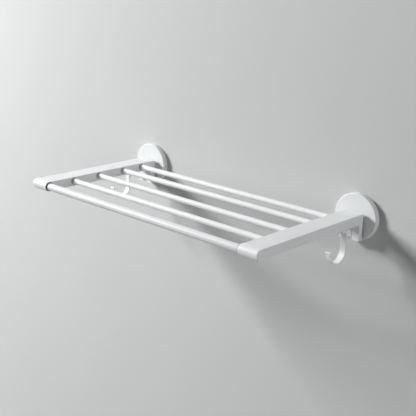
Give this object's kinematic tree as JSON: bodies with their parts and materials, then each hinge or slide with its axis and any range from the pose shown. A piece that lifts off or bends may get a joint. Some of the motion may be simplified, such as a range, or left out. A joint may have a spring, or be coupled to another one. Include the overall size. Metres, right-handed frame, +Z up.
{
  "type": "wall mounted folding drying rack",
  "caption": "Fold-up laundry drying rack on round wall discs, with flat arms, round rods and sliding J-hooks.",
  "frame": {"origin": "midway between the centres of the two wall plates, on the wall plane", "axes": "+X along the wall, +Y into the wall, +Z up; the rack reaches out along -Y"},
  "size_m": [0.616, 0.303, 0.1085],
  "materials": {
    "disc_paint": "satin white powder coat",
    "arm_paint": "satin white powder coat",
    "heel_paint": "satin white powder coat",
    "collar_paint": "satin white powder coat",
    "tube_paint": "satin white powder coat",
    "rod_paint": "satin white powder coat",
    "hook_paint": "satin white powder coat",
    "tongue_paint": "satin white powder coat",
    "cap_plastic": "satin",
    "zinc_steel": "zinc plated",
    "fastener_steel": "stainless",
    "grey_rubber": "matt",
    "white_nylon": "matt",
    "rail_aluminium": "mill"
  },
  "bodies": {
    "wall_mount": {"wall_plate_left": "zinc_steel", "wall_plate_right": "zinc_steel", "cover_disc_left": "disc_paint", "cover_disc_right": "disc_paint", "cover_grub_screw_left": "fastener_steel", "cover_grub_screw_right": "fastener_steel", "hinge_tongue_left": "tongue_paint", "hinge_tongue_right": "tongue_paint", "tongue_screws_left": "fastener_steel", "tongue_screws_right": "fastener_steel"},
    "rack": {"arm_left": "arm_paint", "arm_right": "arm_paint", "arm_heel_left": "heel_paint", "arm_heel_right": "heel_paint", "heel_screws_left": "fastener_steel", "heel_screws_right": "fastener_steel", "heel_pads_left": "grey_rubber", "heel_pads_right": "grey_rubber", "pivot_pin_left": "fastener_steel", "pivot_pin_right": "fastener_steel", "pivot_washers_left": "white_nylon", "pivot_washers_right": "white_nylon", "pivot_caps_left": "cap_plastic", "pivot_caps_right": "cap_plastic", "end_collar_left": "collar_paint", "end_collar_right": "collar_paint", "collar_seal_left": "grey_rubber", "collar_seal_right": "grey_rubber", "collar_screw_left": "fastener_steel", "collar_screw_right": "fastener_steel", "front_tube": "tube_paint", "drying_rod_1": "rod_paint", "drying_rod_2": "rod_paint", "drying_rod_3": "rod_paint", "drying_rod_4": "rod_paint", "rod_grommets_left": "grey_rubber", "rod_grommets_right": "grey_rubber", "rod_socket_rail_left": "rail_aluminium", "rod_socket_rail_right": "rail_aluminium"},
    "left_hook": {"hook_slider_left": "white_nylon", "j_hook_left": "hook_paint", "hook_rivet_left": "fastener_steel"},
    "right_hook": {"hook_slider_right": "white_nylon", "j_hook_right": "hook_paint", "hook_rivet_right": "fastener_steel"}
  },
  "joints": [
    {"name": "rack_fold", "type": "hinge", "parent": "wall_mount", "child": "rack", "pos_m": [0, -0.024, 0.003], "axis": [-1, 0, 0], "range_deg": [0, 90]},
    {"name": "left_hook_slide", "type": "slide", "parent": "rack", "child": "left_hook", "axis": [0, -1, 0], "range_m": [-0.02, 0.192]},
    {"name": "right_hook_slide", "type": "slide", "parent": "rack", "child": "right_hook", "axis": [0, -1, 0], "range_m": [-0.02, 0.192]}
  ]
}
